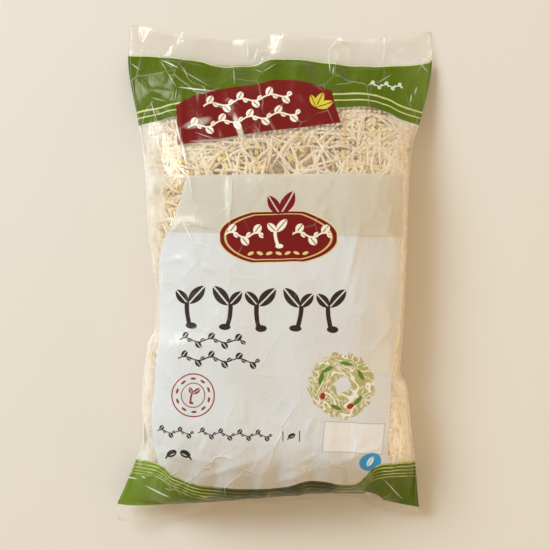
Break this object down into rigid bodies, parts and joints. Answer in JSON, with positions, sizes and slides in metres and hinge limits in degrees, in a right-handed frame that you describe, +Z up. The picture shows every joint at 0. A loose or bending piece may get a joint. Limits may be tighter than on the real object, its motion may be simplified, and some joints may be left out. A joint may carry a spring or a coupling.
{
  "type": "bag of mung bean sprouts",
  "caption": "Sealed pillow bag of printed clear film, lying on its back and filled with fresh mung bean sprouts.",
  "frame": {"origin": "on the surface that the bag lies on, under the middle of its outline", "axes": "+Y towards the bag's top end, +X to its right side seen from above, +Z up out of its printed front"},
  "size_m": [0.257, 0.4134, 0.0688],
  "materials": {
    "film": "clear glossy packaging film with a printed front, soft gathers and creases",
    "sprouts": "cream and faintly moist sprout stems, with yellow beans"
  },
  "bodies": {
    "root": {"film_bag": "film", "sprouts_bottom_left": "sprouts", "sprouts_bottom_right": "sprouts", "sprouts_middle_left": "sprouts", "sprouts_middle_right": "sprouts", "sprouts_top_left": "sprouts", "sprouts_top_right": "sprouts"}
  },
  "joints": []
}
